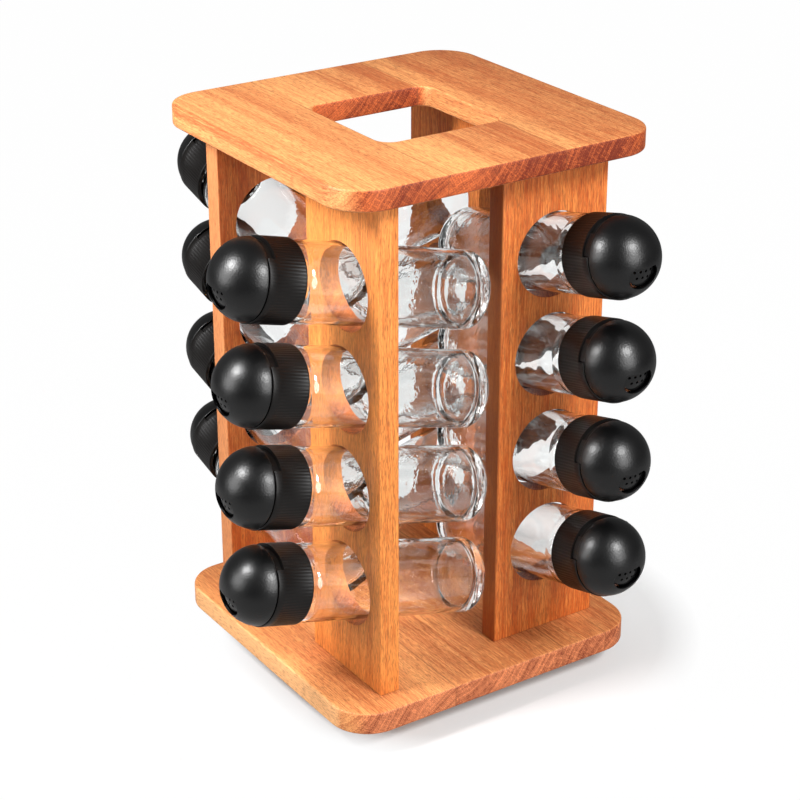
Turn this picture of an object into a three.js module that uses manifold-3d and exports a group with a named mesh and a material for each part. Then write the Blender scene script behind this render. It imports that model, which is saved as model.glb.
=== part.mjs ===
// Revolving spice rack: two square beech plates on four drilled uprights, sixteen glass jars
// that lie in the holes with their shaker caps outwards, and a ball-bearing swivel underneath.
// Millimetres, +Z up. The origin is the middle of the foot ring, on the table.
import * as THREE from 'three';
import { mergeVertices } from 'three/addons/utils/BufferGeometryUtils.js';
import Module from 'manifold-3d';

// Plates
const plateSide = 200;
const plateCornerRadius = 24;
const plateEdgeEase = 1.5;
const topPlateThickness = 12;
const basePlateThickness = 13.5;
const windowSide = 79;
const windowCornerRadius = 9;

// Uprights, one to a side, each shifted towards its right-hand corner
const uprightLength = 292;
const uprightWidth = 71;
const uprightThickness = 12.3;
const uprightFaceInset = 27.2;
const uprightEdgeInset = 15.2;
const holeDiameter = 49.2;
const holesPerUpright = 4;
// The wood left beside the holes, as shares of its whole length: under the lowest hole, and between two
const footWoodShare = 0.331;
const webWoodShare = 0.107;
const dowelDiameter = 8;
const dowelLength = 7;
const dowelSpacing = 40;
const dowelClearance = 0.1;

// Glass jar
const glassDiameter = 44;
const glassWall = 2;
const glassBodyLength = 120.8;
const glassBase = 5;
const glassHeel = 4;
const glassPushUp = 1.2;
const shoulderLength = 4;
const neckDiameter = 39;
const neckLength = 15;
const mouthDiameter = 34;
const jarGap = 0.25;
const jarEndClearance = 0.25;

// Cap: a ribbed collar with the sifter moulded in it, and a dome that turns on it
const collarDiameter = 45.6;
const collarLength = 22.6;
const collarWall = 2.4;
const domeCentreHeight = 20.7;
const domeDiameter = 44.8;
const domeWall = 1.1;
const sifterDiameter = 40.8;
const sifterWall = 1.6;
const sifterSeatDiameter = 36;
const capGap = 0.3;
const notchDepth = 4.4;
const notchAngle = 125;
const notchEndAngle = 80;
const tabAngle = 35;
const tabSlackAngle = 1;
const doorTilt = 27;
const doorWidth = 18;
const doorHeight = 15;
const slotWidth = 11;
const slotHeight = 7;

// Swivel
const footRingDiameter = 150;
const footRingWidth = 14;
const footRingHeight = 4;
const swivelPlateThickness = 1.5;
const swivelPlateDiameter = 158;
const swivelBallDiameter = 5.6;
const swivelRaceDiameter = 116;
const swivelBallCount = 6;
const cageWidth = 9;
const cageThickness = 1.6;
const rivetDiameter = 10;
const rivetHeadDiameter = 16;
const rivetHeadHeight = 2;
const rivetFit = 0.1;
const rivetClearance = 0.5;
const runningGap = 0.3;

// Facets and the overrun of every cut
const jarSides = 12;
const holeSides = 20;
const ringSides = 24;
const smallSides = 8;
const ballSides = 6;
const slotSides = 6;
const cornerSteps = 4;
const outerLatitudes = [30, 60];
const innerLatitudes = [45];
const cutOverrun = 2;
const weldDistance = 1e-4;

// Derived heights
const ballGap = swivelBallDiameter + 2 * runningGap;
const lowerPlateZ = footRingHeight;
const ballZ = lowerPlateZ + swivelPlateThickness + ballGap / 2;
const upperPlateZ = lowerPlateZ + swivelPlateThickness + ballGap;
const basePlateZ = upperPlateZ + swivelPlateThickness;
const uprightZ = basePlateZ + basePlateThickness;
const topPlateZ = uprightZ + uprightLength;

// The jar tips inwards until it bears on the hole's inner lower and outer upper edges
const holeRoom = holeDiameter - 2 * jarGap;
const jarTilt = Math.acos(glassDiameter / Math.hypot(holeRoom, uprightThickness))
  - Math.atan(uprightThickness / holeRoom);

const woodLeft = uprightLength - holesPerUpright * holeDiameter;
const lowestHoleHeight = footWoodShare * woodLeft + holeDiameter / 2;
const holeSpacing = webWoodShare * woodLeft + holeDiameter;

// An upright's place on the left front side, before the side is turned round the rack
const uprightX = uprightFaceInset + uprightThickness / 2 - plateSide / 2;
const uprightY = uprightEdgeInset + uprightWidth / 2 - plateSide / 2;

// The jar's bottom comes close to the edge of the next upright, so a longer jar stands out further
const nextUprightEdge = -uprightY - uprightWidth / 2;
const bottomEdgeRadius = glassDiameter / 2 - glassHeel;
const jarInside = (nextUprightEdge - uprightX - jarEndClearance - bottomEdgeRadius * Math.sin(jarTilt))
  / Math.cos(jarTilt);
const jarReach = glassBodyLength - jarInside;

const wasm = await Module();
wasm.setup();

const beech = new THREE.MeshStandardMaterial({ color: 0xd58648, roughness: 0.55, metalness: 0 });
const clearGlass = new THREE.MeshStandardMaterial({
  color: 0xdfe8e6, roughness: 0.05, metalness: 0, transparent: true, opacity: 0.4,
});
const blackPlastic = new THREE.MeshStandardMaterial({ color: 0x1b1a1a, roughness: 0.42, metalness: 0 });
const zincSteel = new THREE.MeshStandardMaterial({ color: 0xa9abad, roughness: 0.4, metalness: 0.9 });
const darkRubber = new THREE.MeshStandardMaterial({ color: 0x2a2a2a, roughness: 0.85, metalness: 0 });

const rad = THREE.MathUtils.degToRad;

function toSolid(geometry) {
  const bare = geometry.index ? geometry.toNonIndexed() : geometry;
  bare.deleteAttribute('normal');
  bare.deleteAttribute('uv');
  const merged = mergeVertices(bare, weldDistance);
  return new wasm.Manifold(new wasm.Mesh({
    numProp: 3,
    vertProperties: new Float32Array(merged.attributes.position.array),
    triVerts: new Uint32Array(merged.index.array),
  }));
}

function toGeometry(solid) {
  const { vertProperties, triVerts } = solid.getMesh();
  const geometry = new THREE.BufferGeometry();
  geometry.setAttribute('position', new THREE.BufferAttribute(vertProperties, 3));
  geometry.setIndex(new THREE.BufferAttribute(triVerts, 1));
  geometry.computeVertexNormals();
  return geometry;
}

// A profile of [radius, height] points turned about +Z, with a corner of its facets on +X
function turned(profile, sides = jarSides) {
  const points = profile.map(([r, h]) => new THREE.Vector2(r, h));
  return new THREE.LatheGeometry(points, sides, Math.PI / 2).rotateX(Math.PI / 2);
}

function ringProfile(innerRadius, outerRadius, low, high) {
  const start = [innerRadius, low];
  return [start, [outerRadius, low], [outerRadius, high], [innerRadius, high], start];
}

function cylinder(diameter, low, high, sides) {
  const radius = diameter / 2;
  return toSolid(turned([[0, low], [radius, low], [radius, high], [0, high]], sides));
}

function roundedSquare(target, side, radius) {
  const flat = side / 2 - radius;
  target.moveTo(flat + radius, -flat);
  target.lineTo(flat + radius, flat);
  target.absarc(flat, flat, radius, 0, Math.PI / 2);
  target.absarc(-flat, flat, radius, Math.PI / 2, Math.PI);
  target.absarc(-flat, -flat, radius, Math.PI, 1.5 * Math.PI);
  target.absarc(flat, -flat, radius, 1.5 * Math.PI, 2 * Math.PI);
  return target;
}

// A square board with round corners and eased edges, its underside at height 0
function plate(thickness, hasWindow) {
  const ease = plateEdgeEase;
  const outline = roundedSquare(new THREE.Shape(), plateSide - 2 * ease, plateCornerRadius - ease);
  if (hasWindow) {
    outline.holes.push(roundedSquare(new THREE.Path(), windowSide + 2 * ease, windowCornerRadius + ease));
  }
  const depth = thickness - 2 * ease;
  const geometry = new THREE.ExtrudeGeometry(outline, {
    depth, curveSegments: cornerSteps, bevelSize: ease, bevelThickness: ease, bevelSegments: 1,
  });
  return toSolid(geometry.translate(0, 0, ease));
}

// Calls work(x, y) at each dowel of each upright, in the rack's frame
function forEachDowel(work) {
  for (let side = 0; side < 4; side += 1) {
    for (const offset of [-dowelSpacing / 2, dowelSpacing / 2]) {
      const place = new THREE.Vector3(uprightX, uprightY + offset, 0);
      place.applyAxisAngle(new THREE.Vector3(0, 0, 1), side * Math.PI / 2);
      work(place.x, place.y);
    }
  }
}

function topPlate() {
  let solid = plate(topPlateThickness, true);
  const diameter = dowelDiameter + 2 * dowelClearance;
  const socket = cylinder(diameter, -cutOverrun, dowelLength + dowelClearance, smallSides);
  forEachDowel((x, y) => { solid = solid.subtract(socket.translate(x, y, 0)); });
  return toGeometry(solid);
}

function basePlate() {
  let solid = plate(basePlateThickness, false);
  const top = basePlateThickness;
  const diameter = dowelDiameter + 2 * dowelClearance;
  const socket = cylinder(diameter, top - dowelLength - dowelClearance, top + cutOverrun, smallSides);
  forEachDowel((x, y) => { solid = solid.subtract(socket.translate(x, y, 0)); });
  const headRoom = rivetHeadDiameter + 2 * rivetClearance;
  const recess = cylinder(headRoom, -cutOverrun, rivetHeadHeight + rivetClearance, ringSides);
  return toGeometry(solid.subtract(recess));
}

// A drilled board with a pair of dowels at each end; its width lies along Y, its foot at height 0
function upright() {
  const board = new THREE.Shape();
  board.moveTo(-uprightWidth / 2, 0);
  board.lineTo(uprightWidth / 2, 0);
  board.lineTo(uprightWidth / 2, uprightLength);
  board.lineTo(-uprightWidth / 2, uprightLength);
  for (let row = 0; row < holesPerUpright; row += 1) {
    const hole = new THREE.Path();
    const step = 2 * Math.PI / holeSides;
    for (let corner = 0; corner <= holeSides; corner += 1) {
      const across = holeDiameter / 2 * Math.sin(corner * step);
      const up = lowestHoleHeight + row * holeSpacing + holeDiameter / 2 * Math.cos(corner * step);
      if (corner === 0) hole.moveTo(across, up);
      else hole.lineTo(across, up);
    }
    board.holes.push(hole);
  }
  const geometry = new THREE.ExtrudeGeometry(board, { depth: uprightThickness, bevelEnabled: false });
  geometry.translate(0, 0, -uprightThickness / 2).rotateX(Math.PI / 2).rotateZ(Math.PI / 2);
  let solid = toSolid(geometry);
  for (const offset of [-dowelSpacing / 2, dowelSpacing / 2]) {
    const footDowel = cylinder(dowelDiameter, -dowelLength, cutOverrun, smallSides);
    const headEnd = uprightLength + dowelLength;
    const headDowel = cylinder(dowelDiameter, uprightLength - cutOverrun, headEnd, smallSides);
    solid = solid.add(footDowel.translate(0, offset, 0)).add(headDowel.translate(0, offset, 0));
  }
  return toGeometry(solid);
}

// The jar stands on its bottom at height 0, mouth up
function glassJar() {
  const outer = glassDiameter / 2;
  const inner = outer - glassWall;
  const neck = neckDiameter / 2;
  const mouth = mouthDiameter / 2;
  const rim = glassBodyLength + neckLength;
  return turned([
    [0, glassPushUp],
    [outer - glassHeel, 0],
    [outer, glassHeel],
    [outer, glassBodyLength - shoulderLength],
    [neck, glassBodyLength],
    [neck, rim],
    [mouth, rim],
    [mouth, glassBodyLength],
    [inner, glassBodyLength - shoulderLength],
    [inner, glassBase + glassWall],
    [inner - glassWall, glassBase],
    [0, glassBase],
  ]);
}

// Points of a sphere about the dome's centre, from its rim to the pole
function domeArc(radius, rimHeight, latitudes) {
  const arc = [[Math.sqrt(radius ** 2 - (rimHeight - domeCentreHeight) ** 2), rimHeight]];
  for (const latitude of latitudes) {
    arc.push([radius * Math.cos(rad(latitude)), domeCentreHeight + radius * Math.sin(rad(latitude))]);
  }
  arc.push([0, domeCentreHeight + radius]);
  return arc;
}

// A wedge of a ring between two angles, for the stop notch and the dome's tab
function ringSector(innerRadius, outerRadius, low, high, startAngle, endAngle) {
  const ring = toSolid(turned(ringProfile(innerRadius, outerRadius, low, high)));
  const reach = 2 * outerRadius;
  const wedge = new THREE.Shape();
  wedge.moveTo(0, 0);
  const middle = (startAngle + endAngle) / 2;
  for (const angle of [startAngle, middle, endAngle]) {
    wedge.lineTo(reach * Math.cos(rad(angle)), reach * Math.sin(rad(angle)));
  }
  const height = high - low + 2 * cutOverrun;
  const prism = new THREE.ExtrudeGeometry(wedge, { depth: height, bevelEnabled: false });
  return ring.intersect(toSolid(prism.translate(0, 0, low - cutOverrun)));
}

// A prism of the given outline that looks from the dome's centre towards the door
function doorwardPrism(outline, near, far) {
  const prism = new THREE.ExtrudeGeometry(outline, { depth: far - near, bevelEnabled: false });
  prism.translate(0, 0, near).rotateY(-rad(doorTilt)).translate(0, 0, domeCentreHeight);
  return toSolid(prism);
}

function ellipseShape(width, height, sides) {
  const shape = new THREE.Shape();
  for (let corner = 0; corner < sides; corner += 1) {
    const angle = 2 * Math.PI * (corner + 0.5) / sides;
    const place = [width / 2 * Math.cos(angle), height / 2 * Math.sin(angle)];
    if (corner === 0) shape.moveTo(...place);
    else shape.lineTo(...place);
  }
  return shape;
}

const collarRim = collarLength - capGap / 2;
const domeRim = collarLength + capGap / 2;
const notchFloor = collarLength - notchDepth;

// The collar screws over the neck from its open end at height 0; the sifter dome closes it
function sifterCap() {
  const outer = collarDiameter / 2;
  const bore = outer - collarWall;
  const seat = sifterSeatDiameter / 2;
  const seatHeight = neckLength + capGap;
  const skin = domeArc(sifterDiameter / 2, collarRim, innerLatitudes);
  const lining = domeArc(sifterDiameter / 2 - sifterWall, domeCentreHeight, innerLatitudes).reverse();
  let solid = toSolid(turned([
    [bore, 0],
    [outer, 0],
    [outer, collarRim],
    ...skin,
    ...lining,
    [seat, seatHeight],
    [bore, seatHeight],
    [bore, 0],
  ]));
  const notchStart = notchEndAngle - notchAngle;
  solid = solid.subtract(ringSector(
    sifterDiameter / 2, outer + cutOverrun, notchFloor, collarRim + cutOverrun, notchStart, notchEndAngle));
  const slot = ellipseShape(slotHeight, slotWidth, slotSides);
  solid = solid.subtract(doorwardPrism(slot, sifterSeatDiameter / 4, domeDiameter));
  return toGeometry(solid);
}

// The turning dome, with its door and the tab that runs in the collar's notch
function domeCap() {
  const outer = domeDiameter / 2;
  const inner = outer - domeWall;
  const skin = domeArc(outer, domeRim, outerLatitudes);
  const lining = domeArc(inner, domeRim, innerLatitudes);
  const [tabOuter] = skin[0];
  const [tabInner] = lining[0];
  const shell = toSolid(turned([...skin, ...lining.reverse(), skin[0]]));
  const tabEnd = notchEndAngle - tabSlackAngle;
  const tabRoot = domeRim + capGap;
  const tab = ringSector(tabInner, tabOuter, notchFloor + capGap, tabRoot, tabEnd - tabAngle, tabEnd);
  const opening = ellipseShape(doorHeight, doorWidth, smallSides);
  const door = doorwardPrism(opening, sifterSeatDiameter / 4, domeDiameter);
  return toGeometry(shell.add(tab).subtract(door));
}

function footRing() {
  const outer = footRingDiameter / 2;
  return turned(ringProfile(outer - footRingWidth, outer, 0, footRingHeight), ringSides);
}

function swivelPlate(boreDiameter) {
  return turned(ringProfile(boreDiameter / 2, swivelPlateDiameter / 2, 0, swivelPlateThickness), ringSides);
}

// The shank fills the lower plate's hole and its head keeps the upper plate down
function swivelRivet() {
  const shank = rivetDiameter / 2;
  const head = rivetHeadDiameter / 2;
  const foot = lowerPlateZ - rivetHeadHeight;
  const top = basePlateZ;
  return turned([
    [0, foot],
    [head, foot],
    [head, lowerPlateZ],
    [shank, lowerPlateZ],
    [shank, top + runningGap],
    [head, top + runningGap],
    [head, top + rivetHeadHeight],
    [0, top + rivetHeadHeight],
  ], smallSides);
}

function ballCage() {
  const middle = swivelRaceDiameter / 2;
  const low = -cageThickness / 2;
  const profile = ringProfile(middle - cageWidth / 2, middle + cageWidth / 2, low, -low);
  let solid = toSolid(turned(profile, ringSides));
  const sphere = new THREE.SphereGeometry(swivelBallDiameter / 2, ballSides, ballSides / 2);
  const ball = toSolid(sphere.rotateX(Math.PI / 2));
  for (let index = 0; index < swivelBallCount; index += 1) {
    const angle = 2 * Math.PI * index / swivelBallCount;
    solid = solid.add(ball.translate(middle * Math.cos(angle), middle * Math.sin(angle), 0));
  }
  return toGeometry(solid);
}

const group = new THREE.Group();

function addMesh(parent, name, geometry, material, height = 0) {
  const mesh = new THREE.Mesh(geometry, material);
  mesh.name = name;
  mesh.position.z = height;
  parent.add(mesh);
}

addMesh(group, 'foot_ring', footRing(), darkRubber);
addMesh(group, 'swivel_lower_plate', swivelPlate(rivetDiameter + 2 * rivetFit), zincSteel, lowerPlateZ);
addMesh(group, 'swivel_rivet', swivelRivet(), zincSteel);
addMesh(group, 'ball_cage', ballCage(), zincSteel, ballZ);
addMesh(group, 'swivel_upper_plate', swivelPlate(rivetDiameter + 2 * rivetClearance), zincSteel, upperPlateZ);
addMesh(group, 'base_plate', basePlate(), beech, basePlateZ);
addMesh(group, 'top_plate', topPlate(), beech, topPlateZ);

const uprightGeometry = upright();
const glassGeometry = glassJar();
const sifterGeometry = sifterCap();
const domeGeometry = domeCap();
const sides = ['front_left', 'front_right', 'back_right', 'back_left'];
sides.forEach((sideName, turn) => {
  const side = new THREE.Group();
  side.rotation.z = turn * Math.PI / 2;
  group.add(side);
  const board = new THREE.Group();
  board.position.set(uprightX, uprightY, uprightZ);
  side.add(board);
  addMesh(board, `upright_${sideName}`, uprightGeometry, beech);
  for (let row = 0; row < holesPerUpright; row += 1) {
    const jar = new THREE.Group();
    jar.position.z = lowestHoleHeight + row * holeSpacing;
    jar.rotation.y = jarTilt - Math.PI / 2;
    board.add(jar);
    const label = `${sideName}_${row + 1}`;
    addMesh(jar, `glass_jar_${label}`, glassGeometry, clearGlass, jarReach - glassBodyLength);
    addMesh(jar, `sifter_cap_${label}`, sifterGeometry, blackPlastic, jarReach + capGap);
    addMesh(jar, `dome_cap_${label}`, domeGeometry, blackPlastic, jarReach + capGap);
  }
});

export default group;
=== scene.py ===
import math

import bmesh
import bpy
from mathutils import Matrix, Vector


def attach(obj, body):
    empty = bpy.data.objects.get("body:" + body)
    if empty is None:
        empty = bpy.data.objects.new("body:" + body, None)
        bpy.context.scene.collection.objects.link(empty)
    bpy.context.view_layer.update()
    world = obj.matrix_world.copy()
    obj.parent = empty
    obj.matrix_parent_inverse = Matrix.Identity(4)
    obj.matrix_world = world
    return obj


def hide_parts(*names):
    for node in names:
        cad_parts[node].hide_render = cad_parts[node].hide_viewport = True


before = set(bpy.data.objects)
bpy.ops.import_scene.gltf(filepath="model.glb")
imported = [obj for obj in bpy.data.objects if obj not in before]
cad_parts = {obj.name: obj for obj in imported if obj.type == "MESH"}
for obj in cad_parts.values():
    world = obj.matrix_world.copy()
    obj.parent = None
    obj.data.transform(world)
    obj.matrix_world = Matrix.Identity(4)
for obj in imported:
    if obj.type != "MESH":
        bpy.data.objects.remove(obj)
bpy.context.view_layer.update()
bpy.context.scene.view_settings.view_transform = "Standard"
print("frame loaded")

# Node helpers


def addNode(tree, kind, label="", **sockets):
    node = tree.nodes.new(kind)
    node.label = label
    for name, value in sockets.items():
        setattr(node, name, value)
    return node


def mathNode(tree, operation, first, second=None, clamp=False):
    node = addNode(tree, "ShaderNodeMath", operation=operation, use_clamp=clamp)
    for index, value in enumerate((first, second)):
        if value is None:
            continue
        if isinstance(value, (int, float)):
            node.inputs[index].default_value = value
        else:
            tree.links.new(value, node.inputs[index])
    return node.outputs[0]


# A value times a factor, plus an offset
def scaled(tree, value, factor, offset, clamp=False):
    return mathNode(tree, "ADD", mathNode(tree, "MULTIPLY", value, factor), offset, clamp)


def mixColour(tree, factor, first, second):
    node = addNode(tree, "ShaderNodeMix", data_type="RGBA")
    for name, value in (("Factor", factor), ("A", first), ("B", second)):
        socket = [s for s in node.inputs if s.name == name and s.enabled][0]
        if isinstance(value, tuple):
            socket.default_value = (*value, 1)
        elif isinstance(value, (int, float)):
            socket.default_value = value
        else:
            tree.links.new(value, socket)
    return [s for s in node.outputs if s.enabled][0]


def ramp(tree, value, low, high):
    node = addNode(tree, "ShaderNodeMapRange")
    node.inputs["From Min"].default_value = low
    node.inputs["From Max"].default_value = high
    tree.links.new(value, node.inputs["Value"])
    return node.outputs[0]


def objectPlace(tree):
    return addNode(tree, "ShaderNodeTexCoord").outputs["Object"]


def distanceFrom(tree, point):
    node = addNode(tree, "ShaderNodeVectorMath", operation="DISTANCE")
    node.inputs[1].default_value = point
    tree.links.new(objectPlace(tree), node.inputs[0])
    return node.outputs["Value"]


def newMaterial(name):
    material = bpy.data.materials.new(name)
    material.use_nodes = True
    return material, material.node_tree, material.node_tree.nodes["Principled BSDF"]


def mixShaders(tree, factor, first, second, output):
    mix = addNode(tree, "ShaderNodeMixShader")
    for value, socket in zip((factor, first, second), mix.inputs):
        tree.links.new(value, socket)
    tree.links.new(mix.outputs[0], output.inputs["Surface"])


def stretched(tree, vector, scale, name):
    mapping = addNode(tree, "ShaderNodeMapping", name)
    mapping.inputs["Scale"].default_value = scale
    tree.links.new(vector, mapping.inputs["Vector"])
    return mapping.outputs[0]


def noise(tree, vector, scale=1.0, detail=2.0, roughness=0.5):
    node = addNode(tree, "ShaderNodeTexNoise")
    node.inputs["Scale"].default_value = scale
    node.inputs["Detail"].default_value = detail
    node.inputs["Roughness"].default_value = roughness
    tree.links.new(vector, node.inputs["Vector"])
    return node.outputs["Fac"]


# Joins two or three parts to a vector, each times its own scale where scales are given
def joined(tree, parts, scales=None, label=""):
    node = addNode(tree, "ShaderNodeCombineXYZ", label)
    if scales:
        parts = [mathNode(tree, "MULTIPLY", part, scale) for part, scale in zip(parts, scales)]
    for part, socket in zip(parts, node.inputs):
        tree.links.new(part, socket)
    return node.outputs[0]


def bumpBy(tree, shader, height, strength, distance):
    bump = addNode(tree, "ShaderNodeBump")
    bump.inputs["Strength"].default_value = strength
    bump.inputs["Distance"].default_value = distance
    tree.links.new(height, bump.inputs["Height"])
    tree.links.new(bump.outputs[0], shader.inputs["Normal"])


# Camera and stage

camera = {
    "azimuth": -34.07, "elevation": 25.06, "roll": 0.17, "distance": 1.22462,
    "target": (0.0024086, -0.008051, 0.1518147), "sensor": 36, "lens": 95.12,
    "shiftX": -0.02035, "shiftY": 0.01722, "clipEnd": 50,
}
stage = {
    "floorSize": 12, "floorHeight": -0.0003, "floorColour": (0.78, 0.78, 0.78), "floorRoughness": 0.9,
    "floorShows": (0.05, 0.99), "shadowCentre": (0.035, -0.01, 0), "showsFrom": 0.122, "showsTo": 0.147,
    "floorBounce": (0.31, 0.31, 0.31), "worldLight": 0.16, "lampsAim": (0, 0, 0.17),
}
lamps = {
    "keyLeft": {"towards": (-0.729, 0.071, 0.681), "distance": 0.702, "size": 0.19, "power": 5.4},
    "fillRight": {"towards": (0.133, -0.749, 0.649), "distance": 1.585, "size": 0.42, "power": 21},
    "leftPanel": {"towards": (-0.93, 0.2, 0.3), "distance": 1.5, "size": 0.9, "power": 12.5},
    "frontPanel": {"towards": (0.1, -0.95, 0.3), "distance": 1.6, "size": 0.9, "power": 13.5},
}


# The camera's right, up and back
def cameraAxes():
    az, el, ro = (math.radians(camera[name]) for name in ("azimuth", "elevation", "roll"))
    back = Vector((math.sin(az) * math.cos(el), -math.cos(az) * math.cos(el), math.sin(el)))
    right = Vector((math.cos(az), math.sin(az), 0))
    up = back.cross(right)
    return right * math.cos(ro) + up * math.sin(ro), up * math.cos(ro) - right * math.sin(ro), back


def placeCamera():
    right, up, back = cameraAxes()
    data = bpy.data.cameras.new("photoCamera")
    data.sensor_width = camera["sensor"]
    data.lens = camera["lens"]
    data.shift_x, data.shift_y = camera["shiftX"], camera["shiftY"]
    data.clip_end = camera["clipEnd"]
    eye = bpy.data.objects.new("photoCamera", data)
    turn = Matrix((right, up, back)).transposed().to_4x4()
    eye.matrix_world = Matrix.Translation(Vector(camera["target"]) + back * camera["distance"]) @ turn
    bpy.context.scene.collection.objects.link(eye)
    bpy.context.scene.camera = eye


def placeLamps():
    middle = Vector(stage["lampsAim"])
    for name, lamp in lamps.items():
        data = bpy.data.lights.new(name, "AREA")
        data.shape = "DISK"
        data.size = lamp["size"]
        data.energy = lamp["power"]
        towards = Vector(lamp["towards"]).normalized()
        light = bpy.data.objects.new(name, data)
        light.matrix_world = (Matrix.Translation(middle + towards * lamp["distance"])
                              @ towards.to_track_quat("Z", "Y").to_matrix().to_4x4())
        bpy.context.scene.collection.objects.link(light)


# Whether a ray comes straight from the camera, or through clear glass
def seenPlain(tree):
    path = addNode(tree, "ShaderNodeLightPath")
    return mathNode(tree, "MAXIMUM", path.outputs["Is Camera Ray"], path.outputs["Is Transmission Ray"])


def paintWorld():
    world = bpy.data.worlds.new("studio")
    bpy.context.scene.world = world
    world.use_nodes = True
    tree = world.node_tree
    tree.nodes.clear()
    output = addNode(tree, "ShaderNodeOutputWorld")
    light = addNode(tree, "ShaderNodeBackground")
    light.inputs["Color"].default_value = (1, 1, 1, 1)
    light.inputs["Strength"].default_value = stage["worldLight"]
    white = addNode(tree, "ShaderNodeBackground")
    white.inputs["Color"].default_value = (1, 1, 1, 1)
    mixShaders(tree, seenPlain(tree), light.outputs[0], white.outputs[0], output)


def layFloor():
    bm = bmesh.new()
    bmesh.ops.create_grid(bm, x_segments=1, y_segments=1, size=stage["floorSize"] / 2)
    bmesh.ops.translate(bm, vec=(0, 0, stage["floorHeight"]), verts=bm.verts)
    mesh = bpy.data.meshes.new("floor")
    bm.to_mesh(mesh)
    bm.free()
    floor = bpy.data.objects.new("floor", mesh)
    bpy.context.scene.collection.objects.link(floor)
    material, tree, shader = newMaterial("palePaper")
    shader.inputs["Roughness"].default_value = stage["floorRoughness"]
    glow = addNode(tree, "ShaderNodeEmission")
    # It keeps the shadow near the rack, and is plain white farther away
    away = ramp(tree, distanceFrom(tree, stage["shadowCentre"]), stage["showsFrom"], stage["showsTo"])
    near, far = stage["floorShows"]
    seen = seenPlain(tree)
    share = mathNode(tree, "MULTIPLY", seen, scaled(tree, away, far - near, near))
    tree.links.new(mixColour(tree, seen, stage["floorBounce"], stage["floorColour"]), shader.inputs["Base Color"])
    mixShaders(tree, share, shader.outputs[0], glow.outputs[0], tree.nodes["Material Output"])
    mesh.materials.append(material)


placeCamera()
placeLamps()
paintWorld()
layFloor()
print("camera, lamps and floor placed")

# Where the boards stand, in millimetres; the base plate's upper face is at uprightZ

rackPlace = {"uprightX": -66.65, "uprightY": -49.3, "baseZ": 13.2, "uprightZ": 26.7, "topZ": 318.7,
             "topSurface": 330.7}

# Materials

wood = {
    "endPale": (0.88, 0.25, 0.071), "endDeep": (0.15, 0.0155, 0.0052), "fleck": (0.20, 0.055, 0.018),
    "ringSpacing": 1.25, "ringSharpness": 1.3, "pith": (-306, 257),
    "staveLean": 28, "staveShift": 173, "seedStep": 310,
    "wanderScale": (0.03, 0.03, 0.004), "wanderWidth": 7, "fibreScale": (1.5, 1.5, 0.06),
    "broadScale": (0.16, 0.1, 0.004), "streakScale": (0.75, 0.006), "rayScale": (95, 0.12),
    "fleckLength": 4.4, "fleckWidth": 0.34, "fleckRange": (0.52, 0.64), "rayRange": (0.5, 0.66),
    "endRange": (0.55, 0.85), "noiseRange": (0.3, 0.7), "glueDepth": 0.6, "glueFade": 0.9,
    "roughness": 0.44, "roughnessSwing": 0.12, "shine": 0.3, "bump": 0.15, "bumpHeight": 0.0003,
}
# How much each part of the grain adds to the depth of the tone, on a face and more on an end
shares = {"ringFace": 0.35, "ringEnd": 0.55, "streakFace": 0.5, "streakEnd": 0.3, "broad": 0.4, "fibres": 1.45,
          "rays": 0.4, "flecks": 0.57, "all": 0.72, "least": 0.2}
# Each plate is three or four glued staves. Glue lines and tones are in millimetres along X,
# with 0 for the palest wood and 1 for the darkest
topStaves = {
    "lines": (-40.4, 34.3), "piths": ((-16, -45), (-57, 45), (121, -45)), "endPale": (0.76, 0.17, 0.045),
    "window": {"reach": 60, "paler": 0.25},
    "tones": (
        (-100, 1), (-98, 0.8), (-96, 0.3), (-78, 0.2), (-72, 0.42), (-66, 0.25), (-58, 0.6), (-52, 0.4),
        (-41, 0.22), (-38, 0.05), (-20, 0.02), (-9, 0.28), (-4, 0.68), (8, 0.44), (16, 0.68), (24, 1), (33, 0.75),
        (35, 0.1), (46, 0.38), (57, 0.95), (64, 0.65), (84, 0.78), (100, 0.7)),
    "ends": (
        (-100, 0.38), (-74, 0.36), (-70, 0.55), (-58, 0.76), (-42, 0.5), (-38, 0.2), (-20, 0.36), (-12, 0.44),
        (-6, 0.65), (-2, 0.8), (14, 0.78), (24, 0.98), (33, 1), (36, 0.62), (50, 0.95), (70, 1), (76, 0.74),
        (100, 0.7)),
}
baseStaves = {
    "lines": (-32.1, 44.0, 75.3), "piths": ((-12, -45), (-48, 45), (114, -45), (34, 45)),
    "endPale": (0.8, 0.262, 0.104),
    "tones": (
        (-100, 0), (-98, 0.35), (-75, 0.7), (-62, 0.35), (-42, 0.2), (-33, 0.35), (-30, 0.58), (-11, 0.68),
        (-9, 1), (-8, 0.95), (-7, 0.42), (4, 0.6), (24, 0.66), (43, 0.45), (46, 0.7), (60, 0.62), (76, 0.62),
        (100, 0.75)),
    "ends": (
        (-100, 0.28), (-70, 0.24), (-42, 0.08), (-33, 0.22), (-30, 0.38), (-12, 0.44), (-6, 0.13), (24, 0.28),
        (43, 0.22), (46, 0.48), (60, 0.37), (100, 0.4)),
}
plateColours = {"pale": (0.9, 0.415, 0.145), "deep": (0.47, 0.125, 0.038)}
uprightColours = {"pale": (0.9, 0.342, 0.078), "deep": (0.48, 0.085, 0.013)}
# Heights of the dark joint lines at the uprights' ends
uprightEnds = (rackPlace["uprightZ"], rackPlace["topZ"])
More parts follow.
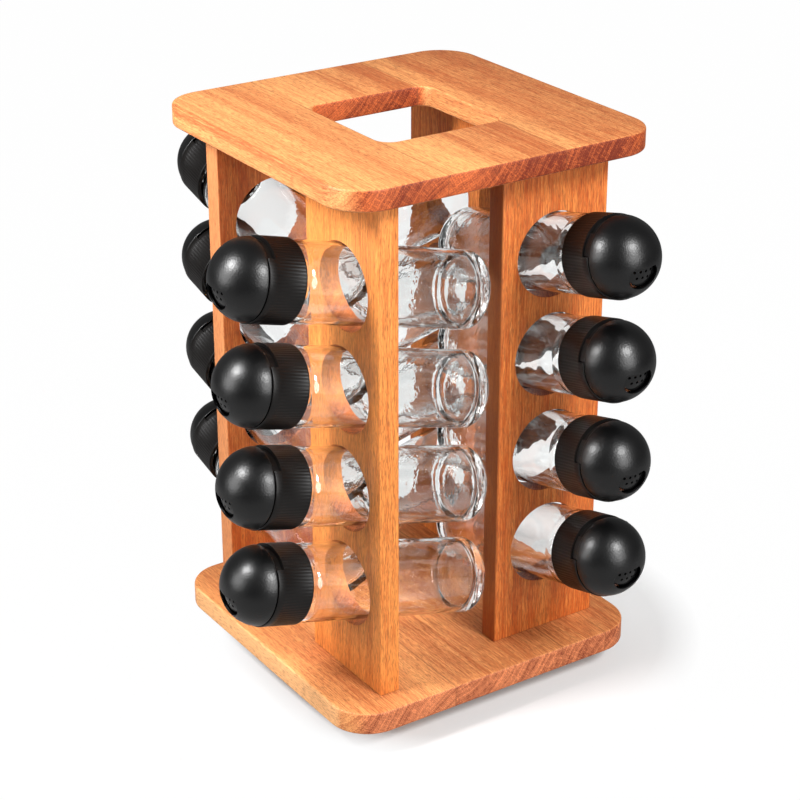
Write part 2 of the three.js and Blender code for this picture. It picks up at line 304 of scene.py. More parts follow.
# A paler or darker strip along an edge, with the places in millimetres along X: painted light on the base's left
# edge, painted shade on the front-right upright's narrow edge
basePaintedLightEdge = {"from": -98.6, "to": -99.7, "colour": (0.98, 0.55, 0.24), "share": 0.6}
uprightEdges = {
    # Painted shade: the front-right upright's narrow edge is darkened where the front-left upright and the jars shade
    # it
    "front_right": {"from": 15.0, "to": 14.0, "colour": (0.3, 0.08, 0.018), "share": 0.75},
    "back_left": {"from": -84.1, "to": -84.7, "colour": (0.62, 0.245, 0.092), "share": 0.85},
}
uprightTones = {"front_left": 0.12, "front_right": 0.7, "back_right": 0.5, "back_left": 0.75}


def toneAlong(tree, value, tones, low, high):
    place = mathNode(tree, "DIVIDE", mathNode(tree, "SUBTRACT", value, low), high - low)
    node = addNode(tree, "ShaderNodeValToRGB", "tones of the staves")
    elements = node.color_ramp.elements
    elements.remove(elements[1])
    for index, (spot, tone) in enumerate(tones):
        element = elements.new(1.0) if index else elements[0]
        element.position = (spot - low) / (high - low)
        element.color = (tone, tone, tone, 1)
    tree.links.new(place, node.inputs["Fac"])
    return node.outputs["Color"]


# A number that each stave has for itself
def byStave(tree, across, staves, values):
    total = values[0]
    for line, before, after in zip(staves["lines"], values, values[1:]):
        past = mathNode(tree, "GREATER_THAN", across, line)
        total = scaled(tree, past, after - before, total)
    return total


# The tone of glued staves: the wood's bands lean through the board, and stop at each glue line
def staveTone(tree, across, depth, staves):
    limits = [staves["tones"][0][0], *staves["lines"], staves["tones"][-1][0]]
    low, high, index = [byStave(tree, across, staves, values)
                        for values in (limits[:-1], limits[1:], range(len(limits) - 1))]
    slope = math.tan(math.radians(wood["staveLean"]))
    leant = mathNode(tree, "SUBTRACT", across, mathNode(tree, "MULTIPLY", depth, slope))
    inside = mathNode(tree, "MINIMUM", mathNode(tree, "MAXIMUM", leant, low), high)
    return [toneAlong(tree, inside, staves[part], limits[0], limits[-1]) for part in ("tones", "ends")] + [index]


# Where a point lies across, through and along the board in millimetres, and whether it is on an end
def boardCoordinates(tree, grainAxis, surface):
    coordinates = addNode(tree, "ShaderNodeTexCoord")
    inMillimetres = addNode(tree, "ShaderNodeVectorMath", "millimetres", operation="SCALE")
    inMillimetres.inputs["Scale"].default_value = 1000
    tree.links.new(coordinates.outputs["Object"], inMillimetres.inputs[0])
    parts, facing = (addNode(tree, "ShaderNodeSeparateXYZ", label) for label in ("place", "facing"))
    tree.links.new(inMillimetres.outputs[0], parts.inputs[0])
    tree.links.new(coordinates.outputs["Normal"], facing.inputs[0])
    depth = mathNode(tree, "SUBTRACT", parts.outputs[{"Y": "Z", "Z": "Y"}[grainAxis]], surface)
    end = ramp(tree, mathNode(tree, "ABSOLUTE", facing.outputs[grainAxis]), *wood["endRange"])
    return parts.outputs["X"], depth, parts.outputs[grainAxis], end


# Solid beech: rings, fibres and flecks run along the grain through the whole board
def beech(name, grainAxis, colours, staves=None, surface=0, seed=0, tone=0, edge=None):
    material, tree, shader = newMaterial(name)
    across, depth, along, end = boardCoordinates(tree, grainAxis, surface)
    if staves:
        faceTone, endTone, stave = staveTone(tree, across, depth, staves)
        change = mathNode(tree, "MULTIPLY", mathNode(tree, "SUBTRACT", endTone, faceTone), end)
        boardTone = mathNode(tree, "ADD", faceTone, change)
        shift = mathNode(tree, "MULTIPLY", stave, wood["staveShift"])
        pith = [byStave(tree, across, staves, values) for values in zip(*staves["piths"])]
    else:
        boardTone, shift, pith = tone, seed, wood["pith"]
    place = joined(tree, [mathNode(tree, "ADD", part, shift) for part in (across, depth, along)])

    # Growth rings run round the pith, outside the board, and wander slowly along it
    wander = noise(tree, stretched(tree, place, wood["wanderScale"], "wander"), detail=3)
    fromPith = [mathNode(tree, "SUBTRACT", part, spot) for part, spot in zip((across, depth), pith)]
    squares = [mathNode(tree, "MULTIPLY", part, part) for part in fromPith]
    reach = mathNode(tree, "SQRT", mathNode(tree, "ADD", *squares))
    ringPlace = mathNode(tree, "ADD", mathNode(tree, "DIVIDE", reach, wood["ringSpacing"]),
                         mathNode(tree, "MULTIPLY", wander, wood["wanderWidth"]))
    rings = mathNode(tree, "POWER", mathNode(tree, "PINGPONG", ringPlace, 0.5), wood["ringSharpness"])
    streakWay = joined(tree, (ringPlace, along), wood["streakScale"], "streaks that follow the rings")
    streaks = noise(tree, streakWay, detail=3, roughness=0.6)
    roundPith = mathNode(tree, "ARCTAN2", fromPith[1], fromPith[0])
    rayWay = joined(tree, (roundPith, reach), wood["rayScale"], "rays across the rings")
    rays = mathNode(tree, "MULTIPLY", ramp(tree, noise(tree, rayWay, detail=1), *wood["rayRange"]), end)

    fibres = noise(tree, stretched(tree, place, wood["fibreScale"], "fibres"), detail=4, roughness=0.8)
    broad = noise(tree, stretched(tree, place, wood["broadScale"], "broad bands"), detail=4, roughness=0.65)
    fleckScale = (1 / wood["fleckWidth"], 1 / wood["fleckWidth"], 1 / wood["fleckLength"])
    flecks = ramp(tree, noise(tree, stretched(tree, place, fleckScale, "flecks"), detail=1), *wood["fleckRange"])

    parts = [(rings, scaled(tree, end, shares["ringEnd"], shares["ringFace"])), (rays, -shares["rays"])]
    if staves and "window" in staves:
        inside = mathNode(tree, "LESS_THAN", mathNode(tree, "ABSOLUTE", along), staves["window"]["reach"])
        parts.append((mathNode(tree, "MULTIPLY", inside, end), -staves["window"]["paler"]))
    streakShare = scaled(tree, end, shares["streakEnd"], shares["streakFace"])
    for value, share in ((broad, shares["broad"]), (fibres, shares["fibres"]), (streaks, streakShare)):
        parts.append((mathNode(tree, "SUBTRACT", ramp(tree, value, *wood["noiseRange"]), 0.5), share))
    darkness = boardTone
    for value, share in parts:
        darkness = mathNode(tree, "ADD", darkness, mathNode(tree, "MULTIPLY", value, share))
    darkness = scaled(tree, darkness, shares["all"], shares["least"], clamp=True)

    colour = mixColour(tree, darkness, colours["pale"], colours["deep"])
    endColour = mixColour(tree, darkness, (staves or wood)["endPale"], wood["endDeep"])
    colour = mixColour(tree, end, colour, endColour)
    # Mixes in the strip along an edge: painted light on the base's left edge, painted shade on the front-right
    # upright's narrow edge
    if edge:
        atEdge = ramp(tree, across, edge["from"], edge["to"])
        colour = mixColour(tree, mathNode(tree, "MULTIPLY", atEdge, edge["share"]), colour, edge["colour"])
    colour = mixColour(tree, mathNode(tree, "MULTIPLY", flecks, shares["flecks"]), colour, wood["fleck"])
    for line in staves["lines"] if staves else uprightEnds:
        gap = mathNode(tree, "ABSOLUTE", mathNode(tree, "SUBTRACT", across if staves else along, line))
        fade = mathNode(tree, "MULTIPLY", gap, wood["glueFade"])
        glue = mathNode(tree, "SUBTRACT", wood["glueDepth"], fade, clamp=True)
        colour = mixColour(tree, glue, colour, wood["fleck"])
    tree.links.new(colour, shader.inputs["Base Color"])
    tree.links.new(scaled(tree, fibres, wood["roughnessSwing"], wood["roughness"]), shader.inputs["Roughness"])
    shader.inputs["Specular IOR Level"].default_value = wood["shine"]
    bumpBy(tree, shader, mathNode(tree, "SUBTRACT", fibres, flecks), wood["bump"], wood["bumpHeight"])
    return material


# Colour, least roughness and shine of each, and the scale and strength of its grain
plastics = {
    "blackRibbedPlastic": {"colour": (0.0036, 0.0029, 0.0026), "roughness": 0.31, "shine": 0.25,
                           "grain": 900, "strength": 0.06},
    "blackSatinPlastic": {"colour": (0.0012, 0.0012, 0.0013), "roughness": 0.28, "shine": 0.46,
                          "grain": 1100, "strength": 0.45},
    "blackGlossPlastic": {"colour": (0.0016, 0.0016, 0.0017), "roughness": 0.17, "shine": 0.4,
                          "grain": 900, "strength": 0.04},
    "darkRubber": {"colour": (0.022, 0.022, 0.023), "roughness": 0.65, "shine": 0.3,
                   "grain": 1600, "strength": 0.2},
}
# What all the plastics share: broad clouds that vary the colour and the roughness, and the grain's height
clouds = {"scale": 90, "paler": 1.35, "roughnessSwing": 0.1, "grainHeight": 0.0002}


def plastic(name):
    values = plastics[name]
    material, tree, shader = newMaterial(name)
    grain = noise(tree, objectPlace(tree), values["grain"])
    broad = noise(tree, objectPlace(tree), clouds["scale"])
    paler = tuple(channel * clouds["paler"] for channel in values["colour"])
    tree.links.new(mixColour(tree, broad, values["colour"], paler), shader.inputs["Base Color"])
    tree.links.new(scaled(tree, broad, clouds["roughnessSwing"], values["roughness"]), shader.inputs["Roughness"])
    shader.inputs["Specular IOR Level"].default_value = values["shine"]
    bumpBy(tree, shader, grain, values["strength"], clouds["grainHeight"])
    return material


# Waves are all over the jar, and pebbles in its bottom, which lies nearest to the rack's axis
clearGlass = {
    "colour": (0.985, 0.992, 0.99, 1), "shadow": (0.69, 0.7, 0.7, 1), "index": 1.5,
    "waveScale": 62, "waveRoughness": 0.4, "pebbleScale": 190, "pebbleShare": 0.5,
    "bottomFrom": 0.052, "bottomTo": 0.075, "bump": 0.13, "bumpHeight": 0.003,
}


# Clear jar glass: lamps shine through it, and faint waves in its walls make the glints
def jarGlass():
    material, tree, shader = newMaterial("clearJarGlass")
    shader.inputs["Base Color"].default_value = clearGlass["colour"]
    shader.inputs["Roughness"].default_value = 0.0
    shader.inputs["IOR"].default_value = clearGlass["index"]
    shader.inputs["Transmission Weight"].default_value = 1.0
    waves = noise(tree, objectPlace(tree), clearGlass["waveScale"], 1, clearGlass["waveRoughness"])
    level = addNode(tree, "ShaderNodeVectorMath", operation="MULTIPLY")
    level.inputs[1].default_value = (1, 1, 0)
    tree.links.new(objectPlace(tree), level.inputs[0])
    fromMiddle = addNode(tree, "ShaderNodeVectorMath", operation="LENGTH")
    tree.links.new(level.outputs[0], fromMiddle.inputs[0])
    fromBottom = ramp(tree, fromMiddle.outputs["Value"], clearGlass["bottomFrom"], clearGlass["bottomTo"])
    pressed = noise(tree, objectPlace(tree), clearGlass["pebbleScale"])
    pebbles = mathNode(tree, "MULTIPLY", pressed, mathNode(tree, "SUBTRACT", 1, fromBottom))
    relief = scaled(tree, pebbles, clearGlass["pebbleShare"], waves)
    bumpBy(tree, shader, relief, clearGlass["bump"], clearGlass["bumpHeight"])
    clear = addNode(tree, "ShaderNodeBsdfTransparent")
    clear.inputs["Color"].default_value = clearGlass["shadow"]
    inShadow = addNode(tree, "ShaderNodeLightPath").outputs["Is Shadow Ray"]
    mixShaders(tree, inShadow, shader.outputs[0], clear.outputs[0], tree.nodes["Material Output"])
    return material


zincSteel = {"deep": (0.52, 0.53, 0.54), "pale": (0.66, 0.67, 0.68), "spangleScale": 140,
             "roughness": 0.28, "roughnessSwing": 0.2, "bump": 0.1, "bumpHeight": 0.0002}


def steel():
    material, tree, shader = newMaterial("zincPlatedSteel")
    spangle = noise(tree, objectPlace(tree), zincSteel["spangleScale"], detail=3)
    colour = mixColour(tree, spangle, zincSteel["deep"], zincSteel["pale"])
    tree.links.new(colour, shader.inputs["Base Color"])
    shader.inputs["Metallic"].default_value = 1.0
    roughness = scaled(tree, spangle, zincSteel["roughnessSwing"], zincSteel["roughness"])
    tree.links.new(roughness, shader.inputs["Roughness"])
    bumpBy(tree, shader, spangle, zincSteel["bump"], zincSteel["bumpHeight"])
    return material


finishes = {
    "top": beech("beechTop", "Y", plateColours, topStaves, rackPlace["topSurface"]),
    "base": beech("beechBase", "Y", plateColours, baseStaves, rackPlace["uprightZ"], edge=basePaintedLightEdge),
    "collar": plastic("blackRibbedPlastic"),
    "dome": plastic("blackSatinPlastic"),
    "sifter": plastic("blackGlossPlastic"),
    "glass": jarGlass(),
    "steel": steel(),
    "rubber": plastic("darkRubber"),
}
print("materials made")

# Shaping helpers, all in millimetres until a piece is finished

rows = {"lowest": 56.111, "spacing": 59.386, "count": 4, "tilt": 14.664}
sideNames = ("front_left", "front_right", "back_right", "back_left")
millimetres = Matrix.Scale(0.001, 4)
# Angles in degrees above which an edge is shaded sharp, and above which it is eased
angles = {"shadedSharp": 35, "eased": 50}
# Distances below which points are merged, or count as lying on a line
tolerance = {"merged": 0.001, "mergedRing": 0.0005, "onLine": 0.02, "onWall": 0.05}


def sideTurn(turn):
    return Matrix.Rotation(turn * math.pi / 2, 4, "Z")


def boardPlace(turn):
    return sideTurn(turn) @ Matrix.Translation((rackPlace["uprightX"], rackPlace["uprightY"], rackPlace["uprightZ"]))


def jarPlace(turn, row):
    lift = Matrix.Translation((0, 0, rows["lowest"] + row * rows["spacing"]))
    return boardPlace(turn) @ lift @ Matrix.Rotation(math.radians(rows["tilt"] - 90), 4, "Y")


# Makes a bmesh in millimetres a piece of the model, in its place
def finishPiece(bm, name, place, materials, body, node):
    mesh = bpy.data.meshes.new(name)
    bm.to_mesh(mesh)
    mesh.transform(millimetres @ place)
    for material in materials:
        mesh.materials.append(material)
    mesh.shade_smooth()
    mesh.set_sharp_from_angle(angle=math.radians(angles["shadedSharp"]))
    piece = bpy.data.objects.new(name, mesh)
    bpy.context.scene.collection.objects.link(piece)
    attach(piece, body)
    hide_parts(node)


def tidyShell(bm):
    bmesh.ops.remove_doubles(bm, verts=bm.verts, dist=tolerance["merged"])
    bmesh.ops.recalc_face_normals(bm, faces=bm.faces)


# A line of (radius, height) points spun about Z; closed joins its last point to its first
def spinProfile(profile, steps, closed):
    bm = bmesh.new()
    points = [bm.verts.new((radius, 0, height)) for radius, height in profile]
    edges = [bm.edges.new(pair) for pair in zip(points, points[1:])]
    if closed:
        edges.append(bm.edges.new((points[-1], points[0])))
    bmesh.ops.spin(bm, geom=points + edges, cent=(0, 0, 0), axis=(0, 0, 1),
                   angle=2 * math.pi, steps=steps, use_merge=True)
    tidyShell(bm)
    return bm


def roundOff(bm, geom, offset, segments, affect="EDGES"):
    bmesh.ops.bevel(bm, geom=geom, offset=offset, offset_type="OFFSET", segments=segments, profile=0.5,
                    affect=affect, material=-1, clamp_overlap=affect == "EDGES")


def raiseFaces(bm, faces, height):
    grown = bmesh.ops.extrude_face_region(bm, geom=faces)["geom"]
    raised = [item for item in grown if isinstance(item, bmesh.types.BMVert)]
    bmesh.ops.translate(bm, vec=(0, 0, height), verts=raised)


# Rounds the ring edges that lie at the given radius and height
def easeRings(bm, rings):
    for radius, height, offset, segments in rings:
        edges = [edge for edge in bm.edges
                 if all(abs(vert.co.z - height) < tolerance["onLine"]
                        and abs(vert.co.to_2d().length - radius) < tolerance["onLine"] for vert in edge.verts)]
        roundOff(bm, edges, offset, segments)
        bmesh.ops.remove_doubles(bm, verts=bm.verts, dist=tolerance["mergedRing"])


def easeSharpEdges(bm, offset, segments):
    edges = [edge for edge in bm.edges
             if len(edge.link_faces) == 2 and edge.calc_face_angle() > math.radians(angles["eased"])]
    roundOff(bm, edges, offset, segments)


# Plates

plates = {"side": 200, "cornerRadius": 24, "cornerSegments": 14, "windowSide": 79, "windowRadius": 9,
          "edgeEase": 1.4, "easeSegments": 4, "topThickness": 12, "baseThickness": 13.5}


def roundedOutline(bm, side, radius):
    corners = bmesh.ops.create_grid(bm, x_segments=1, y_segments=1, size=side / 2)["verts"]
    roundOff(bm, corners, radius, plates["cornerSegments"], "VERTICES")


def makePlate(name, thickness, hasWindow, height, material):
    bm = bmesh.new()
    roundedOutline(bm, plates["side"], plates["cornerRadius"])
    if hasWindow:
        bmesh.ops.delete(bm, geom=list(bm.faces), context="FACES_ONLY")
        roundedOutline(bm, plates["windowSide"], plates["windowRadius"])
        bmesh.ops.delete(bm, geom=list(bm.faces), context="FACES_ONLY")
        bmesh.ops.bridge_loops(bm, edges=list(bm.edges))
    raiseFaces(bm, list(bm.faces), thickness)
    bmesh.ops.recalc_face_normals(bm, faces=bm.faces)
    easeSharpEdges(bm, plates["edgeEase"], plates["easeSegments"])
    finishPiece(bm, name + "_board", Matrix.Translation((0, 0, height)), [material], "rack", name)
    bm.free()


makePlate("base_plate", plates["baseThickness"], False, rackPlace["baseZ"], finishes["base"])
makePlate("top_plate", plates["topThickness"], True, rackPlace["topZ"], finishes["top"])
print("plates made")

# Uprights

uprights = {"length": 292, "width": 71, "thickness": 12.3, "holeDiameter": 49.2, "holeSides": 72,
            "edgeEase": 0.6, "easeSegments": 3}


def makeUpright(turn, sideName):
    bm = bmesh.new()
    half = uprights["width"] / 2
    corners = [bm.verts.new((y, z, 0)) for y, z in
               ((-half, 0), (half, 0), (half, uprights["length"]), (-half, uprights["length"]))]
    for first, second in zip(corners, corners[1:] + corners[:1]):
        bm.edges.new((first, second))
    for row in range(rows["count"]):
        centre = Matrix.Translation((0, rows["lowest"] + row * rows["spacing"], 0))
        bmesh.ops.create_circle(bm, cap_ends=False, radius=uprights["holeDiameter"] / 2,
                                segments=uprights["holeSides"], matrix=centre)
    bmesh.ops.triangle_fill(bm, use_beauty=True, use_dissolve=False, edges=list(bm.edges))
    raiseFaces(bm, list(bm.faces), uprights["thickness"])
    bmesh.ops.recalc_face_normals(bm, faces=bm.faces)
    easeSharpEdges(bm, uprights["edgeEase"], uprights["easeSegments"])
    quarter = math.pi / 2
    stand = (Matrix.Translation((-uprights["thickness"] / 2, 0, 0))
             @ Matrix.Rotation(quarter, 4, "Z") @ Matrix.Rotation(quarter, 4, "X"))
    material = beech("beechUpright" + sideName.title().replace("_", ""), "Z", uprightColours,
                     seed=wood["seedStep"] * (turn + 1), tone=uprightTones[sideName], edge=uprightEdges.get(sideName))
    finishPiece(bm, f"upright_{sideName}_board", boardPlace(turn) @ stand, [material], "rack",
                f"upright_{sideName}")
    bm.free()


for turn, sideName in enumerate(sideNames):
    makeUpright(turn, sideName)
print("uprights made")

# Jars

jar = {
    "radius": 22, "inner": 20, "bodyLength": 120.8, "shoulder": 4, "innerShoulder": 5, "neckRadius": 19.5,
    "mouthRadius": 17, "neckLength": 15, "standRadius": 15.5, "pushUp": 1.4, "pushUpRadius": 9,
    "pushUpShape": 0.8, "baseThickness": 6.5, "floorRadius": 11, "floorRise": 1.6, "steps": 72, "reach": 42.61,
}
# How far each ring edge of a jar is rounded, and in how many steps
jarEases = {"heel": (4.2, 7), "stand": (1.2, 2), "shoulder": (2.6, 5), "neck": (1.2, 3), "lip": (0.8, 3),
            "floor": (5.0, 8), "innerShoulder": (2.0, 4)}


def makeJarGlass():
    radius, inner, neck, mouth = jar["radius"], jar["inner"], jar["neckRadius"], jar["mouthRadius"]
    length, floor = jar["bodyLength"], jar["baseThickness"]
    top = length + jar["neckLength"]
    shoulder, innerShoulder = length - jar["shoulder"], length - jar["innerShoulder"]
    bm = spinProfile([
        (0, jar["pushUp"]), (jar["pushUpRadius"], jar["pushUp"] * jar["pushUpShape"]), (jar["standRadius"], 0),
        (radius, 0), (radius, shoulder), (neck, length), (neck, top), (mouth, top), (mouth, length),
        (inner, innerShoulder), (inner, floor), (jar["floorRadius"], floor), (0, floor + jar["floorRise"]),
    ], jar["steps"], closed=False)
    easeRings(bm, [
        (radius, 0, *jarEases["heel"]),
        (jar["standRadius"], 0, *jarEases["stand"]),
        (radius, shoulder, *jarEases["shoulder"]),
        (neck, length, *jarEases["neck"]),
        (neck, top, *jarEases["lip"]),
        (mouth, top, *jarEases["lip"]),
        (inner, floor, *jarEases["floor"]),
        (inner, innerShoulder, *jarEases["innerShoulder"]),
    ])
    tidyShell(bm)
    return bm


# Caps: the ribbed collar with its sifter, and the dome that turns on it

cap = {
    "steps": 240, "radius": 22.8, "bore": 20.4, "rim": 22.45, "baseEase": (0.5, 3), "rimEase": (0.35, 3),
    "ribEvery": 3, "ribDepth": 0.3, "ribLow": 1.3, "ribHigh": 17.4, "ribFade": 0.3,
    "seatRadius": 18, "seatHeight": 15.3, "sifterRadius": 20.4, "sifterWall": 1.6, "skinSteps": 14,
    "liningSteps": 10, "notchFloor": 18.2, "notchStart": -45, "notchEnd": 80, "notchInner": 20.65,
    "notchSteps": 50, "notchPast": 2, "glossRadius": 20.55, "gap": 0.3,
}
dome = {
    "steps": 120, "radius": 22.4, "flatten": 0.964, "wall": 1.1, "centre": 20.7, "rim": 22.75, "rimEase": (0.5, 3),
    "outerSteps": 30, "innerSteps": 24, "tabStart": 44.5, "tabEnd": 78.5, "tabFloor": 18.5,
}
door = {"tilt": 27, "near": 12, "far": 30, "width": 18.4, "height": 15.6, "sides": 56, "chord": 5.0,
        "corner": (1.6, 6)}
sprinkle = {
    "holeRadius": 0.8, "holeSides": 14, "slotInner": 7.1, "slotOuter": 9.4, "slotStart": 120, "slotAngle": 136,
    "slotSteps": 32,
    "holes": ((2.2, -5.2), (2.2, -1.7), (2.2, 1.8), (2.2, 5.3), (-1.4, -3.5), (-1.4, 0), (-1.4, 3.5)),
}


# The outline of a dome from a height up to its tip
def arcPoints(radius, low, steps):
    rise = radius * dome["flatten"]
    start = math.asin((low - dome["centre"]) / rise)
    points = []
    for step in range(steps):
        angle = start + (math.pi / 2 - start) * step / steps
        points.append((radius * math.cos(angle), dome["centre"] + rise * math.sin(angle)))
    return points + [(0, dome["centre"] + rise)]


def polarAngle(place):
    return math.degrees(math.atan2(place.y, place.x))


def towardsDoor():
    return Matrix.Translation((0, 0, dome["centre"])) @ Matrix.Rotation(-math.radians(door["tilt"]), 4, "Y")


# Cuts a shape out of a part with a Boolean modifier, and gives the part back as a bmesh
def cutAway(bm, cutters):
    meshes = []
    for index, shape in enumerate([bm, *cutters]):
        mesh = bpy.data.meshes.new(f"cutting{index}")
        shape.to_mesh(mesh)
        shape.free()
        meshes.append(mesh)
    objects = [bpy.data.objects.new(mesh.name, mesh) for mesh in meshes]
    for item in objects:
        bpy.context.scene.collection.objects.link(item)
    for cutter in objects[1:]:
        modifier = objects[0].modifiers.new(cutter.name, "BOOLEAN")
        modifier.operation, modifier.solver, modifier.object = "DIFFERENCE", "EXACT", cutter
    view = bpy.context.evaluated_depsgraph_get()
    result = bmesh.new()
    result.from_mesh(objects[0].evaluated_get(view).to_mesh())
    for item, mesh in zip(objects, meshes):
        bpy.data.objects.remove(item)
        bpy.data.meshes.remove(mesh)
    return result


# A rectangle between two radii and two heights, swept about Z from one angle by another
def ringSector(inner, outer, low, high, start, angle, steps):
    bm = bmesh.new()
    corners = [bm.verts.new(corner) for corner in
               ((inner, 0, low), (outer, 0, low), (outer, 0, high), (inner, 0, high))]
    bm.faces.new(corners)
    bmesh.ops.rotate(bm, cent=(0, 0, 0), matrix=Matrix.Rotation(math.radians(start), 3, "Z"), verts=bm.verts)
    bmesh.ops.spin(bm, geom=list(bm.verts) + list(bm.edges) + list(bm.faces), cent=(0, 0, 0), axis=(0, 0, 1),
                   angle=math.radians(angle), steps=steps)
    tidyShell(bm)
    return bm


def makeCollar():
    outer, rim, seat = cap["radius"], cap["rim"], cap["seatHeight"]
    skin = arcPoints(cap["sifterRadius"], rim, cap["skinSteps"])
    lining = arcPoints(cap["sifterRadius"] - cap["sifterWall"], dome["centre"], cap["liningSteps"])[::-1]
    ribEnds = (cap["ribLow"] - cap["ribFade"], cap["ribLow"], cap["ribHigh"], cap["ribHigh"] + cap["ribFade"])
    bm = spinProfile([(cap["bore"], 0), (outer, 0), *((outer, height) for height in ribEnds), (outer, rim),
                      *skin, *lining, (cap["seatRadius"], seat), (cap["bore"], seat)], cap["steps"], closed=True)
    step = 360 / cap["steps"]
    for vert in bm.verts:
        onWall = (vert.co.to_2d().length > outer - tolerance["onWall"]
                  and cap["ribLow"] - tolerance["onWall"] < vert.co.z < cap["ribHigh"] + tolerance["onWall"])
        if onWall and round(polarAngle(vert.co) / step) % cap["ribEvery"] == 0:
            vert.co.xy *= 1 - cap["ribDepth"] / outer
    easeRings(bm, [(outer, 0, *cap["baseEase"]), (outer, rim, *cap["rimEase"])])
    notch = ringSector(cap["notchInner"], outer + cap["notchPast"], cap["notchFloor"], rim + cap["notchPast"],
                       cap["notchStart"], cap["notchEnd"] - cap["notchStart"], cap["notchSteps"])
    slot = ringSector(sprinkle["slotInner"], sprinkle["slotOuter"], door["near"], door["far"],
                      sprinkle["slotStart"], sprinkle["slotAngle"], sprinkle["slotSteps"])
    drills = bmesh.new()
    for x, y in sprinkle["holes"]:
        bmesh.ops.create_cone(drills, cap_ends=True, segments=sprinkle["holeSides"], radius1=sprinkle["holeRadius"],
                              radius2=sprinkle["holeRadius"], depth=door["far"] - door["near"],
                              matrix=Matrix.Translation((x, y, (door["near"] + door["far"]) / 2)))
    for cutter in (slot, drills):
        cutter.transform(towardsDoor())
    bm = cutAway(bm, [notch, slot, drills])
    for face in bm.faces:
        inside = face.calc_center_median()
        face.material_index = int(inside.z > rim or inside.to_2d().length < cap["glossRadius"])
    return bm


# What is cut out of the dome: an oval with one straight side
def doorShape():
    bm = bmesh.new()
    bmesh.ops.create_circle(bm, cap_ends=True, radius=0.5, segments=door["sides"],
                            matrix=Matrix.Diagonal((door["height"], door["width"], 1, 1)))
    bmesh.ops.bisect_plane(bm, geom=list(bm.verts) + list(bm.edges) + list(bm.faces),
                           plane_co=(door["chord"], 0, 0), plane_no=(1, 0, 0), clear_outer=True)
    corners = [vert for vert in bm.verts if abs(vert.co.x - door["chord"]) < tolerance["merged"]]
    roundOff(bm, corners, *door["corner"], "VERTICES")
    raiseFaces(bm, list(bm.faces), door["far"] - door["near"])
    bmesh.ops.translate(bm, vec=(0, 0, door["near"]), verts=bm.verts)
    bmesh.ops.recalc_face_normals(bm, faces=bm.faces)
    bm.transform(towardsDoor())
    return bm


def makeDome():
    skin = arcPoints(dome["radius"], dome["rim"], dome["outerSteps"])
    lining = arcPoints(dome["radius"] - dome["wall"], dome["rim"], dome["innerSteps"])[::-1]
    bm = spinProfile([*skin, *lining], dome["steps"], closed=True)
    easeRings(bm, [(skin[0][0], dome["rim"], *dome["rimEase"])])
    tab = [face for face in bm.faces if all(abs(vert.co.z - dome["rim"]) < tolerance["onLine"] for vert in face.verts)
           and dome["tabStart"] < polarAngle(face.calc_center_median()) < dome["tabEnd"]]
    raiseFaces(bm, tab, dome["tabFloor"] - dome["rim"])
    bmesh.ops.delete(bm, geom=tab, context="FACES_ONLY")
    tidyShell(bm)
    return cutAway(bm, [doorShape()])


glassShape, collarShape, domeShape = makeJarGlass(), makeCollar(), makeDome()
print("jar and cap shapes made")

for turn, sideName in enumerate(sideNames):
    for row in range(rows["count"]):
        label = f"{sideName}_{row + 1}"
        place = jarPlace(turn, row)
        glassSeat = place @ Matrix.Translation((0, 0, jar["reach"] - jar["bodyLength"]))
        capSeat = place @ Matrix.Translation((0, 0, jar["reach"] + cap["gap"]))
        finishPiece(glassShape, f"jar_{label}_glass", glassSeat, [finishes["glass"]], f"jar_{label}",
                    f"glass_jar_{label}")
        finishPiece(collarShape, f"jar_{label}_collar", capSeat, [finishes["collar"], finishes["sifter"]],
                    f"cap_{label}", f"sifter_cap_{label}")
        finishPiece(domeShape, f"jar_{label}_dome", capSeat, [finishes["dome"]], f"dome_{label}",
                    f"dome_cap_{label}")
for shape in (glassShape, collarShape, domeShape):
    shape.free()
print("jars and caps made")

# Swivel

swivel = {
    "steps": 96, "easeSegments": 3, "footOuter": 75, "footInner": 61, "footHeight": 4, "footEase": 0.8,
    "plateRadius": 79, "plateThickness": 1.5, "plateEase": 0.4, "lowerZ": 4, "lowerBore": 5.1, "upperZ": 11.7,
    "upperBore": 5.5, "ballZ": 8.6, "raceRadius": 58, "cageWidth": 9, "cageThickness": 1.6, "ballRadius": 2.8,
    "ballCount": 18, "ballSegments": 20, "ballRings": 12, "rivetRadius": 5, "rivetHead": 8, "headHeight": 2,
    "headSlope": (2, 1), "headGap": 0.3, "rivetSteps": 48,
}


def ringProfile(inner, outer, low, high):
    return [(inner, low), (outer, low), (outer, high), (inner, high)]


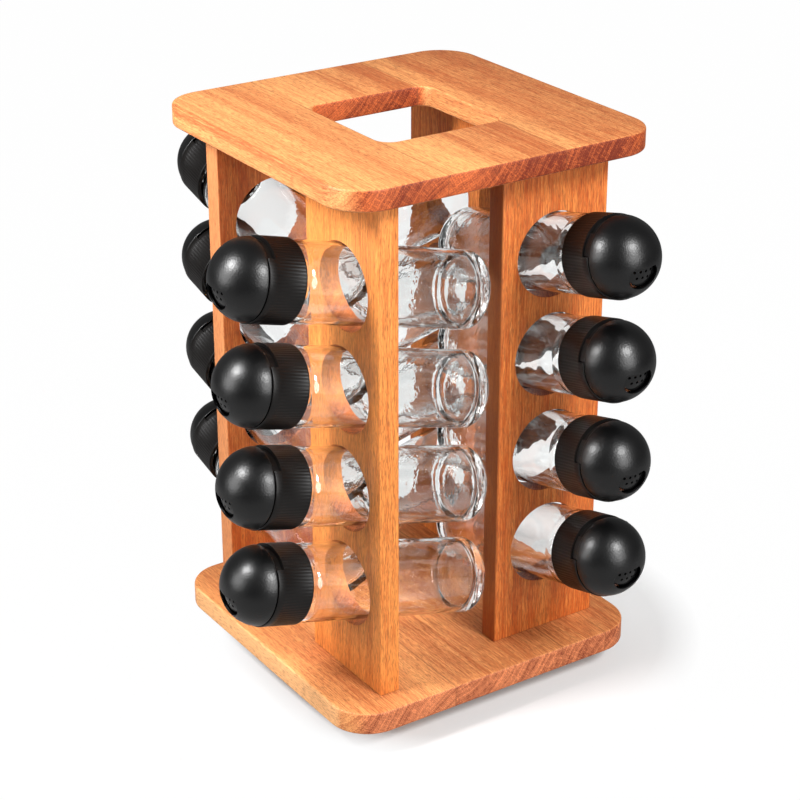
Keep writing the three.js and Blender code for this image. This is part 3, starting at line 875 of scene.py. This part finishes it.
def makeRing(name, inner, outer, low, high, ease, body, node, finish):
    bm = spinProfile(ringProfile(inner, outer, low, high), swivel["steps"], closed=True)
    easeRings(bm, [(radius, height, ease, swivel["easeSegments"]) for radius in (inner, outer)
                   for height in (low, high)])
    finishPiece(bm, name, Matrix.Identity(4), [finishes[finish]], body, node)
    bm.free()


def makeBallCage():
    low, half, race = swivel["ballZ"] - swivel["cageThickness"] / 2, swivel["cageWidth"] / 2, swivel["raceRadius"]
    bm = spinProfile(ringProfile(race - half, race + half, low, low + swivel["cageThickness"]), swivel["steps"],
                     closed=True)
    for index in range(swivel["ballCount"]):
        spot = (Matrix.Rotation(2 * math.pi * index / swivel["ballCount"], 4, "Z")
                @ Matrix.Translation((race, 0, swivel["ballZ"])))
        bmesh.ops.create_uvsphere(bm, u_segments=swivel["ballSegments"], v_segments=swivel["ballRings"],
                                  radius=swivel["ballRadius"], matrix=spot)
    finishPiece(bm, "ball_cage_ring", Matrix.Identity(4), [finishes["steel"]], "ball_cage", "ball_cage")
    bm.free()


def makeRivet():
    low, high, head = swivel["lowerZ"], rackPlace["baseZ"], swivel["headHeight"]
    shank, wide = swivel["rivetRadius"], swivel["rivetHead"]
    inwards, down = swivel["headSlope"]
    bm = spinProfile([(0, low - head), (wide - inwards, low - head), (wide, low - head + down), (wide, low),
                      (shank, low), (shank, high + swivel["headGap"]), (wide, high + swivel["headGap"]),
                      (wide, high + head - down), (wide - inwards, high + head), (0, high + head)],
                     swivel["rivetSteps"], closed=False)
    finishPiece(bm, "swivel_rivet_turned", Matrix.Identity(4), [finishes["steel"]], "stand", "swivel_rivet")
    bm.free()


makeRing("foot_ring_moulded", swivel["footInner"], swivel["footOuter"], 0, swivel["footHeight"],
         swivel["footEase"], "stand", "foot_ring", "rubber")
makeRing("swivel_lower_plate_pressed", swivel["lowerBore"], swivel["plateRadius"], swivel["lowerZ"],
         swivel["lowerZ"] + swivel["plateThickness"], swivel["plateEase"], "stand", "swivel_lower_plate",
         "steel")
makeRing("swivel_upper_plate_pressed", swivel["upperBore"], swivel["plateRadius"], swivel["upperZ"],
         swivel["upperZ"] + swivel["plateThickness"], swivel["plateEase"], "rack", "swivel_upper_plate",
         "steel")
makeBallCage()
makeRivet()
print("swivel made")
